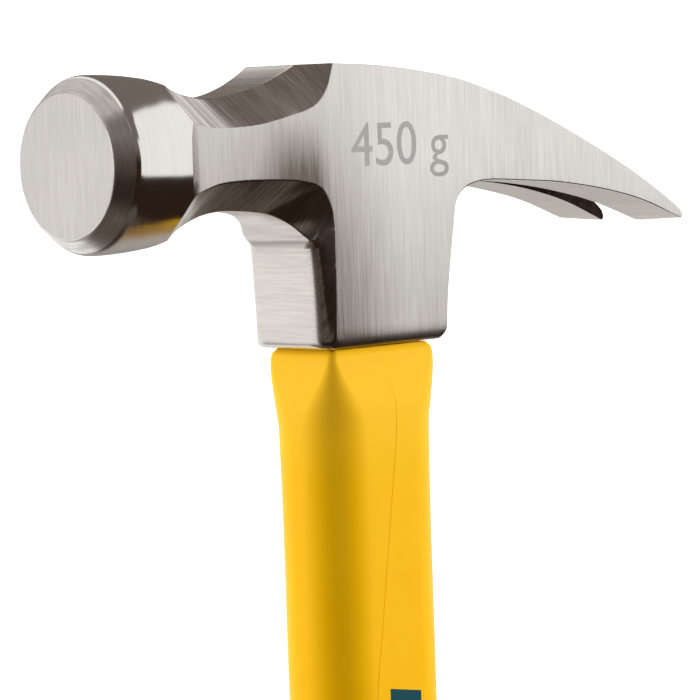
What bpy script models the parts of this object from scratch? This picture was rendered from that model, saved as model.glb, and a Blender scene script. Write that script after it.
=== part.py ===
"""A claw hammer with a straight (rip) claw and a fibreglass handle.

Five pieces: the forged steel head, the fibreglass core rod, the epoxy that bonds the rod in the
head's eye, the plastic jacket moulded round the rod, and the rubber grip moulded round the jacket.

Frame: +Z runs up the handle to the head, +X points to the claws, so the striking face is at -X.
The origin is the middle of the butt's flat end. Sizes below are millimetres.
"""

import math

import bmesh
import bpy
import numpy as np
from mathutils.geometry import delaunay_2d_cdt

MM = 0.001
GAP = 0.3                     # clearance between pieces that touch on the real hammer
PAST = 12.0                   # how far a cutter runs past the face that it opens
BEYOND_CLAWS_X = 90.0         # an X past the claws' tips

# Overall sizes
LENGTH = 334.0                # butt to the top of the head
HEAD_TOP = 16.2               # top of the head above the poll's axis
AXIS_Z = LENGTH - HEAD_TOP    # height of the poll's axis
BLOCK_BOTTOM = -33.8          # underside of the head below the poll's axis

# Poll: the turned striking end, along -X
FACE_X = -63.9
FACE_RADIUS = 12.4
BELL_X = -60.4
BELL_RADIUS = 15.0
BARREL = [(-57.2, 15.0), (-53.1, 14.8), (-49.1, 14.4), (-44.4, 13.9)]
ENVELOPE_RADIUS = 95.0

# Half width of the head's ground sides against X: the waisted neck, then the flat cheek, then
# the claws' flare
NECK_WIDTHS = [(-65.4, 20.4), (-52.6, 19.4), (-49.9, 15.6), (-48.7, 14.4), (-47.7, 13.3),
               (-45.6, 12.0), (-42.2, 10.8), (-36.8, 9.6), (-28.6, 8.9), (-20.4, 9.2),
               (-16.4, 9.8), (-12.8, 10.1)]
CLAW_WIDTHS = [(10.2, 10.1), (13.0, 10.12), (20.0, 10.45), (26.0, 11.1), (32.0, 12.2),
               (40.0, 13.7), (48.0, 14.8), (56.0, 15.3), (65.0, 15.5), (75.6, 15.6)]

# Outline of the head, once round from the face: X and Z of the side outline, X and Z of the
# middle outline, half width of the middle strip, and whether the station is a corner.
# Where the two outlines part, a chamfer joins them.
OUTLINE = [
    (-65.4, 10.0, -65.4, 17.9, 7.7, True),        # above the poll
    (-53.1, 10.0, -53.1, 17.9, 7.7, True),
    (-49.6, 7.8, -50.1, 14.9, 6.5, False),       # top of the neck
    (-46.5, 6.6, -47.3, 13.2, 5.9, False),
    (-43.4, 5.9, -44.5, 11.9, 5.4, False),
    (-39.2, 5.4, -40.9, 11.0, 4.9, False),
    (-34.2, 5.3, -36.4, 10.6, 4.3, False),
    (-27.6, 5.8, -31.1, 11.1, 4.1, False),
    (-20.4, 7.3, -25.8, 12.4, 5.0, False),
    (-15.8, 9.0, -22.1, 13.8, 5.6, False),
    (-13.5, 11.7, -19.4, 15.1, 6.0, False),
    (-11.9, 16.1, -17.8, 16.0, 6.2, True),       # top of the cheek
    (1.7, 15.4, 1.7, 15.4, 6.2, False),
    (17.6, 13.3, 17.6, 13.3, 6.2, False),
    (28.2, 10.2, 28.2, 10.2, 6.2, False),
    (35.6, 7.1, 35.6, 7.1, 6.2, False),
    (45.2, 2.5, 45.2, 2.5, 6.2, False),
    (62.3, -6.0, 62.3, -6.0, 6.2, False),
    (72.6, -12.1, 72.6, -12.1, 6.2, False),
    (74.7, -14.0, 74.5, -14.3, 6.2, True),       # claw tip
    (74.2, -14.7, 74.0, -15.3, 6.2, True),
    (62.2, -10.6, 62.2, -11.2, 6.2, False),      # underside of the claws
    (50.9, -8.1, 50.9, -8.6, 6.2, False),
    (40.8, -6.6, 40.8, -6.9, 6.2, False),
    (33.2, -6.0, 33.2, -6.1, 6.2, False),
    (25.7, -5.6, 25.7, -5.6, 6.2, False),
    (21.7, -6.1, 21.7, -6.1, 6.6, False),
    (19.2, -7.3, 19.2, -7.3, 7.2, False),
    (17.7, -9.2, 17.8, -9.2, 7.7, False),
    (17.0, -12.7, 17.2, -12.7, 8.0, False),      # back of the eye block
    (15.1, -24.6, 15.3, -24.6, 8.0, False),
    (14.3, -33.8, 14.5, -33.8, 8.0, True),       # underside of the eye block
    (-13.4, -33.8, -15.4, -33.8, 8.0, True),
    (-12.8, -24.5, -16.1, -24.5, 8.4, False),    # front of the eye block
    (-12.5, -14.6, -16.8, -15.8, 8.4, False),
    (-12.6, -11.7, -18.4, -13.4, 7.8, False),    # underside of the neck
    (-13.4, -8.4, -20.8, -11.1, 6.1, False),
    (-15.5, -5.4, -24.7, -9.5, 4.7, False),
    (-20.4, -4.0, -31.6, -8.8, 4.1, False),
    (-30.7, -3.6, -36.8, -9.0, 4.3, False),
    (-38.4, -3.9, -41.4, -10.0, 4.9, False),
    (-43.7, -4.9, -45.5, -11.7, 5.4, False),
    (-47.3, -5.7, -48.0, -13.4, 5.9, False),
    (-50.1, -6.9, -50.6, -15.1, 6.5, False),
    (-53.1, -9.2, -53.1, -17.9, 7.7, True),
    (-65.4, -9.2, -65.4, -17.9, 7.7, True),
]
OUTLINE_STEP = 2.2            # longest piece of the faceted outline
CAP_GRID = 4.5                # spacing of the points inside the ground sides

# Nail slot between the claws
SLOT_APEX_X = 29.6
SLOT_TIP_HALF = 4.5
SLOT_TIP_X = 74.4
SLOT_APEX_HALF = 0.4

# Eye, core and epoxy: half length along X, half width along Y
EYE_HALF = (9.8, 6.2)
EYE_TOP_HALF = (10.6, 6.8)
CORE_HALF = (8.0, 4.5)
EYE_TAPER_Z = AXIS_Z + 6.0     # the eye widens from here up, which locks the head on
CORE_TOP_Z = AXIS_Z + 14.2
CORE_BOTTOM_Z = 14.0
EPOXY_TOP_Z = AXIS_Z + 13.7
EPOXY_BOTTOM_Z = AXIS_Z + BLOCK_BOTTOM + 1.0

# Handle jacket: height, half length, half width, corner radius
JACKET_TOP_Z = AXIS_Z + BLOCK_BOTTOM - GAP
JACKET_NECK = [
    (0.0, 11.9, 7.5, 1.1),
    (0.7, 12.6, 8.1, 1.3),
    (2.0, 13.0, 8.4, 1.5),
    (5.1, 13.5, 8.9, 3.2),
    (10.2, 14.3, 9.6, 7.0),
    (14.0, 14.4, 9.6, 8.3),
    (18.4, 14.4, 9.6, 8.5),
    (30.7, 14.4, 9.5, 8.7),
    (61.3, 14.4, 9.5, 8.7),
    (112.4, 14.2, 9.5, 8.7),
    (153.4, 14.0, 9.5, 8.7),
]
GRIP_TOP_Z = 130.0
TANG = (11.6, 7.8, 6.2)         # half sizes and corner radius inside the grip
TANG_BOTTOM_Z = 8.0

# Grip: height above the butt, half length, half width, corner radius
GRIP = [
    (130.0, 14.9, 10.4, 9.2),
    (127.5, 15.6, 11.2, 9.8),
    (118.0, 15.8, 11.5, 10.0),
    (95.0, 15.7, 11.8, 10.0),
    (65.0, 17.0, 12.6, 10.2),
    (40.0, 16.2, 12.3, 9.8),
    (22.0, 16.4, 12.6, 10.0),
    (12.0, 18.2, 13.8, 11.0),
    (5.0, 19.0, 14.4, 11.6),
    (1.5, 18.6, 14.0, 11.4),
    (0.0, 17.2, 12.6, 10.4),
]
RIB_PITCH = 7.0
RIB_DEPTH = 0.7
RIB_LOW_Z = 26.0
RIB_HIGH_Z = 117.0

STEEL = ("forged_steel", (0.62, 0.60, 0.58), 0.32, 1.0)
RESIN = ("cured_epoxy", (0.05, 0.045, 0.04), 0.35, 0.0)
FIBREGLASS = ("fibreglass", (0.72, 0.62, 0.38), 0.5, 0.0)
JACKET = ("jacket_plastic", (0.92, 0.55, 0.02), 0.38, 0.0)
RUBBER = ("grip_rubber", (0.03, 0.03, 0.032), 0.75, 0.0)


def clear_scene():
    for old in list(bpy.data.objects):
        bpy.data.objects.remove(old, do_unlink=True)


def material(name, colour, roughness, metallic):
    made = bpy.data.materials.new(name)
    made.use_nodes = True
    shader = made.node_tree.nodes["Principled BSDF"]
    shader.inputs["Base Color"].default_value = (*colour, 1.0)
    shader.inputs["Roughness"].default_value = roughness
    shader.inputs["Metallic"].default_value = metallic
    return made


def make_object(name, bm, finish, sharp_degrees=22.0):
    """Turn a bmesh in millimetres into a named object in metres, with its faces out."""
    bmesh.ops.scale(bm, vec=(MM, MM, MM), verts=bm.verts)
    bmesh.ops.recalc_face_normals(bm, faces=bm.faces)
    mesh = bpy.data.meshes.new(name)
    bm.to_mesh(mesh)
    bm.free()
    mesh.shade_smooth()
    mesh.set_sharp_from_angle(angle=math.radians(sharp_degrees))
    made = bpy.data.objects.new(name, mesh)
    bpy.context.collection.objects.link(made)
    if finish is not None:
        mesh.materials.append(material(*finish))
    return made


def cut(target, operation, name, bm):
    """Combine a helper solid with the target, and keep the helper as a hidden guide."""
    helper = make_object(name, bm, None)
    helper.hide_render = True
    helper.display_type = "WIRE"
    modifier = target.modifiers.new(name, "BOOLEAN")
    modifier.object = helper
    modifier.operation = operation
    modifier.solver = "EXACT"


def loft(rings):
    """Close a stack of rings with equal point counts into one solid."""
    bm = bmesh.new()
    made = [[bm.verts.new(point) for point in ring] for ring in rings]
    count = len(rings[0])
    for lower, upper in zip(made, made[1:]):
        for i in range(count):
            j = (i + 1) % count
            bm.faces.new((lower[i], lower[j], upper[j], upper[i]))
    bm.faces.new(made[0])
    bm.faces.new(list(reversed(made[-1])))
    return bm


def catmull_rom(points, step):
    """Points along a smooth curve through the given points, in any number of dimensions."""
    points = np.asarray(points, float)
    before = 2 * points[0] - points[1]
    after = 2 * points[-1] - points[-2]
    padded = np.vstack([before, points, after])
    path = [points[0]]
    for p0, p1, p2, p3 in zip(padded, padded[1:], padded[2:], padded[3:]):
        reach = np.abs(p2 - p1).max()
        steps = max(1, math.ceil(reach / step))
        for t in np.arange(1, steps + 1) / steps:
            path.append(0.5 * (2 * p1 + (p2 - p0) * t + (2 * p0 - 5 * p1 + 4 * p2 - p3) * t**2
                               + (3 * p1 - p0 - 3 * p2 + p3) * t**3))
    return np.array(path)


def head_outline(step):
    """The closed outline: columns are side X, side Z, middle X, middle Z, middle half width."""
    pieces = []
    run = [OUTLINE[0][:5]]
    for station in OUTLINE[1:] + OUTLINE[:1]:
        run.append(station[:5])
        if station[5]:
            pieces.append(catmull_rom(run, step)[:-1])
            run = [station[:5]]
    return np.vstack(pieces)


def half_width(x):
    """Half width of the head's side at X: two smooth curves with the flat cheek between them."""
    table = np.vstack([catmull_rom(run, 0.5) for run in (NECK_WIDTHS, CLAW_WIDTHS)])
    return np.interp(x, table[:, 0], table[:, 1])


def side_cap(bm, ring, outline, sign, grid):
    """Fill one ground side of the head, following its half width between the outline's points."""
    corners = [tuple(point) for point in outline]
    low = outline.min(axis=0)
    high = outline.max(axis=0)
    inner = []
    ends = np.roll(outline, -1, axis=0)
    for x in np.arange(low[0] + grid, high[0], grid):
        for z in np.arange(low[1] + grid, high[1], grid):
            spot = np.array([x, z])
            along = ends - outline
            t = np.clip(((spot - outline) * along).sum(1) / (along**2).sum(1), 0, 1)
            near = np.hypot(*(outline + along * t[:, None] - spot).T).min()
            crossings = ((outline[:, 1] > z) != (ends[:, 1] > z)) & (
                x < outline[:, 0] + along[:, 0] * (z - outline[:, 1])
                / np.where(along[:, 1] == 0, 1e-9, along[:, 1]))
            if near > 0.6 * grid and crossings.sum() % 2:
                inner.append((float(x), float(z)))
    edges = [(i, (i + 1) % len(corners)) for i in range(len(corners))]
    points, _, faces, source, _, _ = delaunay_2d_cdt(corners + inner, edges, [], 1, 1e-6)
    verts = []
    for point, origin in zip(points, source):
        if origin and origin[0] < len(corners):
            verts.append(ring[origin[0]])
        else:
            y = sign * float(half_width(point[0]))
            verts.append(bm.verts.new((point[0], y, point[1] + AXIS_Z)))
    for face in faces:
        bm.faces.new([verts[i] for i in face])


def head_blank():
    """The forging before its round poll, nail slot and eye are cut."""
    outline = head_outline(OUTLINE_STEP)
    side_x, side_z, middle_x, middle_z, middle_half = outline.T
    width = half_width(side_x)
    bm = bmesh.new()
    rings = []
    for xs, ys, zs in ((side_x, -width, side_z), (middle_x, -middle_half, middle_z),
                       (middle_x, middle_half, middle_z), (side_x, width, side_z)):
        rings.append([bm.verts.new((x, y, z + AXIS_Z)) for x, y, z in zip(xs, ys, zs)])
    for near, far in zip(rings, rings[1:]):
        for i in range(len(near)):
            j = (i + 1) % len(near)
            bm.faces.new((near[i], near[j], far[j], far[i]))
    side_cap(bm, rings[0], outline[:, :2], -1, CAP_GRID)
    side_cap(bm, rings[-1], outline[:, :2], 1, CAP_GRID)
    bmesh.ops.triangulate(bm, faces=bm.faces)
    return bm


def poll_envelope(segments=56):
    """A turned solid that holds the poll's round shape and, behind it, all the rest."""
    profile = [(FACE_X, 0.0), (FACE_X, FACE_RADIUS), (BELL_X, BELL_RADIUS)] + BARREL
    profile += [(BARREL[-1][0] + 0.05, ENVELOPE_RADIUS), (BEYOND_CLAWS_X, ENVELOPE_RADIUS),
                (BEYOND_CLAWS_X, 0.0)]
    bm = bmesh.new()
    verts = [bm.verts.new((x, 0.0, r)) for x, r in profile]
    edges = [bm.edges.new(pair) for pair in zip(verts, verts[1:])]
    bmesh.ops.spin(bm, geom=verts + edges, cent=(0, 0, 0), axis=(1, 0, 0),
                   angle=2 * math.pi, steps=segments)
    bmesh.ops.remove_doubles(bm, verts=bm.verts, dist=0.001)
    bmesh.ops.translate(bm, vec=(0.0, 0.0, AXIS_Z), verts=bm.verts)
    return bm


def nail_slot():
    """The wedge between the claws, with its narrow end at the root."""
    spread = (SLOT_TIP_HALF - SLOT_APEX_HALF) / (SLOT_TIP_X - SLOT_APEX_X)
    far_x = SLOT_TIP_X + PAST
    far_half = SLOT_TIP_HALF + spread * PAST
    plan = [(SLOT_APEX_X, -SLOT_APEX_HALF), (far_x, -far_half), (far_x, far_half),
            (SLOT_APEX_X, SLOT_APEX_HALF)]
    below = AXIS_Z + BLOCK_BOTTOM - PAST
    return loft([[(x, y, z) for x, y in plan] for z in (below, LENGTH + PAST)])


def oval(half_x, half_y, count=40):
    """A flat-sided oval that suits an eye: a superellipse of the third power."""
    points = []
    for i in range(count):
        angle = 2 * math.pi * i / count
        c, s = math.cos(angle), math.sin(angle)
        size = (abs(c) ** 3 + abs(s) ** 3) ** (-1 / 3)
        points.append((half_x * c * size, half_y * s * size))
    return points


def oval_solid(levels):
    """A solid through ovals: each level is height, half length and half width."""
    return loft([[(x, y, z) for x, y in oval(half_x, half_y)] for z, half_x, half_y in levels])


def rounded_rectangle(half_x, half_y, radius, per_corner=7):
    points = []
    for quarter, (sx, sy) in enumerate(((1, 1), (-1, 1), (-1, -1), (1, -1))):
        for i in range(per_corner):
            angle = math.pi / 2 * (quarter + i / (per_corner - 1))
            points.append((sx * (half_x - radius) + radius * math.cos(angle),
                           sy * (half_y - radius) + radius * math.sin(angle)))
    return points


def sleeve(levels):
    """A solid through rounded rectangles: each level is height, half sizes and radius."""
    return loft([[(x, y, level[0]) for x, y in rounded_rectangle(*level[1:])]
                 for level in levels])


def grip_levels():
    """The grip's sections, with a shallow groove at each pitch of its ribs."""
    table = np.array(sorted(GRIP))
    levels = [tuple(row) for row in table if not RIB_LOW_Z < row[0] < RIB_HIGH_Z]
    z = RIB_LOW_Z
    while z < RIB_HIGH_Z:
        for shift, depth in ((0.0, 0.0), (1.0, RIB_DEPTH), (2.4, RIB_DEPTH), (3.4, 0.0)):
            sizes = [np.interp(z + shift, table[:, 0], table[:, k]) - depth for k in (1, 2, 3)]
            levels.append((z + shift, *sizes))
        z += RIB_PITCH
    return sorted(levels)


def eye_half(z, clearance=0.0):
    """Half sizes of the eye at a height, less a clearance."""
    lift = max(0.0, (z - EYE_TAPER_Z) / (LENGTH - EYE_TAPER_Z))
    return tuple(low + (high - low) * lift - clearance
                 for low, high in zip(EYE_HALF, EYE_TOP_HALF))


def core_bore():
    """Half sizes of the bore that takes the core rod."""
    return tuple(half + GAP for half in CORE_HALF)


def build_head():
    head = make_object("hammer_head", head_blank(), STEEL)
    cut(head, "INTERSECT", "poll_envelope_guide", poll_envelope())
    cut(head, "DIFFERENCE", "nail_slot_guide", nail_slot())
    below = EPOXY_BOTTOM_Z - PAST
    above = LENGTH + PAST
    eye = oval_solid([(z, *eye_half(z)) for z in (below, EYE_TAPER_Z, above)])
    cut(head, "DIFFERENCE", "eye_guide", eye)


def build_core():
    rod = oval_solid([(z, *CORE_HALF) for z in (CORE_BOTTOM_Z, CORE_TOP_Z)])
    make_object("fibreglass_core", rod, FIBREGLASS)


def build_epoxy():
    heights = (EPOXY_BOTTOM_Z, EYE_TAPER_Z, EPOXY_TOP_Z)
    epoxy = make_object("eye_epoxy", oval_solid([(z, *eye_half(z, GAP)) for z in heights]), RESIN)
    bore = oval_solid([(z, *core_bore()) for z in (EPOXY_BOTTOM_Z - PAST, EPOXY_TOP_Z + PAST)])
    cut(epoxy, "DIFFERENCE", "epoxy_bore_guide", bore)


def build_jacket():
    levels = [(JACKET_TOP_Z - drop, *section) for drop, *section in JACKET_NECK]
    levels += [(GRIP_TOP_Z + GAP, *TANG), (TANG_BOTTOM_Z, *TANG)]
    jacket = make_object("handle_jacket", sleeve(levels), JACKET)
    bore = oval_solid([(z, *core_bore()) for z in (CORE_BOTTOM_Z - GAP, JACKET_TOP_Z + PAST)])
    cut(jacket, "DIFFERENCE", "jacket_bore_guide", bore)


def build_grip():
    grip = make_object("rubber_grip", sleeve(grip_levels()), RUBBER, sharp_degrees=35.0)
    socket = tuple(size + GAP for size in TANG)
    bore = sleeve([(z, *socket) for z in (TANG_BOTTOM_Z - GAP, GRIP_TOP_Z + PAST)])
    cut(grip, "DIFFERENCE", "grip_bore_guide", bore)


clear_scene()
build_head()
build_core()
build_epoxy()
build_jacket()
build_grip()
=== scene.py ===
"""The looks of the claw hammer: fine meshes and materials, a plain studio and a camera.

Sizes are millimetres in the part's frame: +Z up the handle, +X to the claws, the origin in the butt's end.
"""

import math

import bmesh
import bpy
import numpy as np
from mathutils import Matrix, Vector
from mathutils.geometry import delaunay_2d_cdt


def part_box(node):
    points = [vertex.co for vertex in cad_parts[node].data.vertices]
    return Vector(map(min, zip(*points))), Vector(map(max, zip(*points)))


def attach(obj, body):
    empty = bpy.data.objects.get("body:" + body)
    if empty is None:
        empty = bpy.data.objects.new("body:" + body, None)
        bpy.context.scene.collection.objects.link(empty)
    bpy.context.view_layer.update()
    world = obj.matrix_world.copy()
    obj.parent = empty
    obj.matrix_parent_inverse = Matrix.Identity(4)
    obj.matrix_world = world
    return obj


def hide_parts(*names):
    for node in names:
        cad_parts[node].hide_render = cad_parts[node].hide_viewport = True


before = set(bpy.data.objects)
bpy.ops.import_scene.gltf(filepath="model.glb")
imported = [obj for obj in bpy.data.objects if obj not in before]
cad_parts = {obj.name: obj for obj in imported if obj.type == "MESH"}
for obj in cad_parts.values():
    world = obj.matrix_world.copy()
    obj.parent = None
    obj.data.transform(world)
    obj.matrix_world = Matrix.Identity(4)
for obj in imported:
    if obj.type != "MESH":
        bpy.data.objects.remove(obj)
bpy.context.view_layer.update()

MM = 0.001
HEAD_LOW, HEAD_HIGH = (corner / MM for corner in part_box("hammer_head"))
BLOCK_BOTTOM = -33.8                   # underside of the head below the poll's axis
AXIS_Z = HEAD_LOW.z - BLOCK_BOTTOM     # height of the poll's axis
LENGTH = 334.0                         # nominal length, butt to the head's top
GAP = 0.3                              # clearance between pieces
PAST = 12.0                            # how far a cutter runs past what it cuts

# Poll: a flat face, a bevel out to the bell, and the barrel behind it as X and radius
FACE_X = HEAD_LOW.x
FACE_RADIUS = 12.4
RIM_RADIUS = 0.35                      # rounding between the face and the bevel
BELL_X = -60.4
BELL_RADIUS = 15.0
BELL_ROUND = 0.8                       # rounding between the bevel and the barrel
BARREL = [(BELL_X, BELL_RADIUS), (-57.2, BELL_RADIUS), (-53.1, 14.8), (-49.1, 14.4), (-44.4, 13.9)]
BEYOND_FACE_X = -65.4
ENVELOPE_RADIUS = 95.0                 # clear of the whole head behind the barrel
ENVELOPE_END_X = 90.0

# Half width of the head's ground sides against X
NECK_WIDTHS = [(BEYOND_FACE_X, 20.4), (-52.6, 19.4), (-49.9, 15.6), (-48.7, 14.4), (-47.7, 13.3),
               (-45.6, 12.0), (-42.2, 10.8), (-36.8, 9.6), (-28.6, 8.9), (-20.4, 9.2),
               (-16.4, 9.8), (-12.8, 10.1)]
CLAW_WIDTHS = [(10.2, 10.1), (13.0, 10.12), (20.0, 10.45), (26.0, 11.1), (32.0, 12.2),
               (40.0, 13.7), (48.0, 14.8), (56.0, 15.3), (65.0, 15.5), (75.6, 15.6)]

# Outline of the head, once round from the face: X and Z of the side outline, X and Z of the
# middle outline, half width of the middle strip, and the corner's radius where there is a corner
OUTLINE = [
    (BEYOND_FACE_X, 10.0, BEYOND_FACE_X, 17.9, 7.7, 0.0),   # above the poll
    (-53.1, 10.0, -53.1, 17.9, 7.7, 0.0),
    (-49.6, 7.8, -50.1, 14.9, 6.5, None),        # top of the neck
    (-46.5, 6.6, -47.3, 13.2, 5.9, None),
    (-43.4, 5.9, -44.5, 11.9, 5.4, None),
    (-39.2, 5.4, -40.9, 11.0, 4.9, None),
    (-34.2, 5.3, -36.4, 10.6, 4.3, None),
    (-27.6, 5.8, -31.1, 11.1, 4.1, None),
    (-20.4, 7.3, -25.8, 12.4, 5.0, None),
    (-15.8, 9.0, -22.1, 13.8, 5.6, None),
    (-13.5, 11.7, -19.4, 15.1, 6.0, None),
    (-11.9, 16.1, -17.8, 16.0, 6.2, 0.0),        # top of the cheek
    (1.7, 15.4, 1.7, 15.4, 6.2, None),
    (17.6, 13.3, 17.6, 13.3, 6.2, None),
    (28.2, 10.2, 28.2, 10.2, 6.2, None),
    (35.6, 7.1, 35.6, 7.1, 6.2, None),
    (45.2, 2.5, 45.2, 2.5, 6.2, None),
    (62.3, -6.0, 62.3, -6.0, 6.2, None),
    (72.6, -12.1, 72.6, -12.1, 6.2, None),
    (74.7, -14.0, 74.5, -14.3, 6.2, 0.3),        # claw tip
    (74.2, -14.7, 74.0, -15.1, 6.2, 0.3),
    (62.2, -10.6, 62.2, -10.9, 6.2, None),       # underside of the claws
    (50.9, -8.1, 50.9, -8.2, 6.2, None),
    (40.8, -6.6, 40.8, -6.6, 6.2, None),
    (33.2, -6.0, 33.2, -5.9, 6.2, None),
    (25.7, -5.6, 25.7, -5.6, 6.2, None),
    (21.7, -6.1, 21.7, -6.1, 6.6, None),
    (19.2, -7.3, 19.2, -7.3, 7.2, None),
    (17.7, -9.2, 17.8, -9.2, 7.7, None),
    (17.0, -12.7, 17.2, -12.7, 8.0, None),       # back of the eye block
    (15.1, -24.6, 15.3, -24.6, 8.0, None),
    (14.3, BLOCK_BOTTOM, 14.5, BLOCK_BOTTOM, 8.0, 1.6),     # underside of the eye block
    (-13.4, BLOCK_BOTTOM, -15.8, BLOCK_BOTTOM, 7.9, 1.6),
    (-12.8, -24.5, -16.1, -24.5, 8.4, None),     # front of the eye block
    (-12.5, -14.6, -16.8, -15.8, 8.4, None),
    (-12.6, -11.7, -18.4, -13.4, 7.8, None),     # underside of the neck
    (-13.4, -8.4, -20.8, -11.1, 6.1, None),
    (-15.5, -5.4, -24.7, -9.5, 4.7, None),
    (-20.4, -4.0, -31.6, -8.8, 4.1, None),
    (-30.7, -3.6, -36.8, -9.0, 4.3, None),
    (-38.4, -3.9, -41.4, -10.0, 4.9, None),
    (-43.7, -4.9, -45.5, -11.7, 5.4, None),
    (-47.3, -5.7, -48.0, -13.4, 5.9, None),
    (-50.1, -6.9, -50.6, -15.1, 6.5, None),
    (-53.1, -9.2, -53.1, -17.9, 7.7, 0.0),
    (BEYOND_FACE_X, -9.2, BEYOND_FACE_X, -17.9, 7.7, 0.0),
]
OUTLINE_STEP = 0.6
CAP_GRID = 1.7                         # spacing of the points inside a ground side
EDGE_EASE = 0.3                        # rounding of the ground sides' edges
BOTTOM_EASE = 1.9                      # the same where the cheek meets the underside
BOTTOM_EASE_DROP = (31.4, 33.6)        # below the axis, where it grows
TIP_EASE = 0.14                        # the same at the claw tips
TIP_EASE_X = (66.0, 73.0)
CHAMFER_EASE = 0.35                    # rounding between the chamfers and the middle strip
BLOCK_EASE = (1.9, 2.4)                # the same on the eye block's front corners
BLOCK_EASE_DROP = (14.4, 15.6)
BLOCK_FRONT_X = -14.0                  # the block's front lies past this
CHAMFER_LEAST = 0.9                    # where side and middle are closer, there is no chamfer
EDGE_STEPS = 4                         # strips in the rounding of a ground side's edge
STRIP_STEPS = 6                        # strips in the rounding of the middle strip's edge
CHAMFER_STRIPS = (3, 9)                # strips from the rim inwards where the chamfer's finish is

# Nail slot and eye
SLOT_APEX_X = 29.6
SLOT_APEX_HALF = 0.4
SLOT_TIP_X = 74.4
SLOT_TIP_HALF = 4.5
EYE_HALF = (9.8, 6.2)
EYE_TOP_HALF = (10.6, 6.8)
EYE_TAPER_Z = AXIS_Z + 6.0

# Handle jacket: drop below its top, half length, half width, corner radius
JACKET_TOP_Z = HEAD_LOW.z - GAP
JACKET_NECK = [
    (0.0, 11.9, 7.5, 1.1), (0.7, 12.6, 8.1, 1.3), (2.0, 13.0, 8.4, 1.5), (5.1, 13.5, 8.9, 3.2),
    (10.2, 14.3, 9.6, 7.0), (14.0, 14.4, 9.6, 8.3), (18.4, 14.4, 9.6, 8.5), (30.7, 14.4, 9.5, 8.7),
    (61.3, 14.4, 9.5, 8.7), (112.4, 14.2, 9.5, 8.7), (153.4, 14.0, 9.5, 8.7),
]
TANG = (11.6, 7.8, 6.2)                # the jacket inside the grip
TANG_BOTTOM_Z = 8.0
GRIP_TOP_Z = 130.0
CORE_HALF = (8.0, 4.5)                 # the rod's half sizes
CORE_BOTTOM_Z = 14.0

# Grip: height above the butt, half length, half width, corner radius
GRIP = [
    (0.0, 17.2, 12.6, 10.4), (1.5, 18.6, 14.0, 11.4), (5.0, 19.0, 14.4, 11.6),
    (12.0, 18.2, 13.8, 11.0), (22.0, 16.4, 12.6, 10.0), (40.0, 16.2, 12.3, 9.8),
    (65.0, 17.0, 12.6, 10.2), (95.0, 15.7, 11.8, 10.0), (118.0, 15.8, 11.5, 10.0),
    (127.5, 15.6, 11.2, 9.8), (GRIP_TOP_Z, 14.9, 10.4, 9.2),
]
GRIP_STEP = 0.35
GROOVE_PITCH = 7.0
GROOVE_DEPTH = 0.7
GROOVE_RANGE_Z = (26.0, 118.0)
GROOVE_FALL = (0.0, 1.0)               # heights within a pitch where a groove deepens
GROOVE_RISE = (2.4, 3.4)               # and where it ends

# Camera: place against the poll's axis, direction, and lens
CAMERA_PLACE = (-383.9, -398.2, 5.45)
CAMERA_YAW = 46.08
CAMERA_PITCH = -4.19
CAMERA_ROLL = 1.95
CAMERA_LENS = 158.62
CAMERA_SENSOR = 36.0

# Face material numbers of the head
SIDE, MIDDLE, UPPER, LOWER, FACE, BEVEL, BARREL_SKIN, SLOT, EYE = range(9)
TURNED = (FACE, BEVEL, BARREL_SKIN)


# ---------------------------------------------------------------- shader helpers

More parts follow.
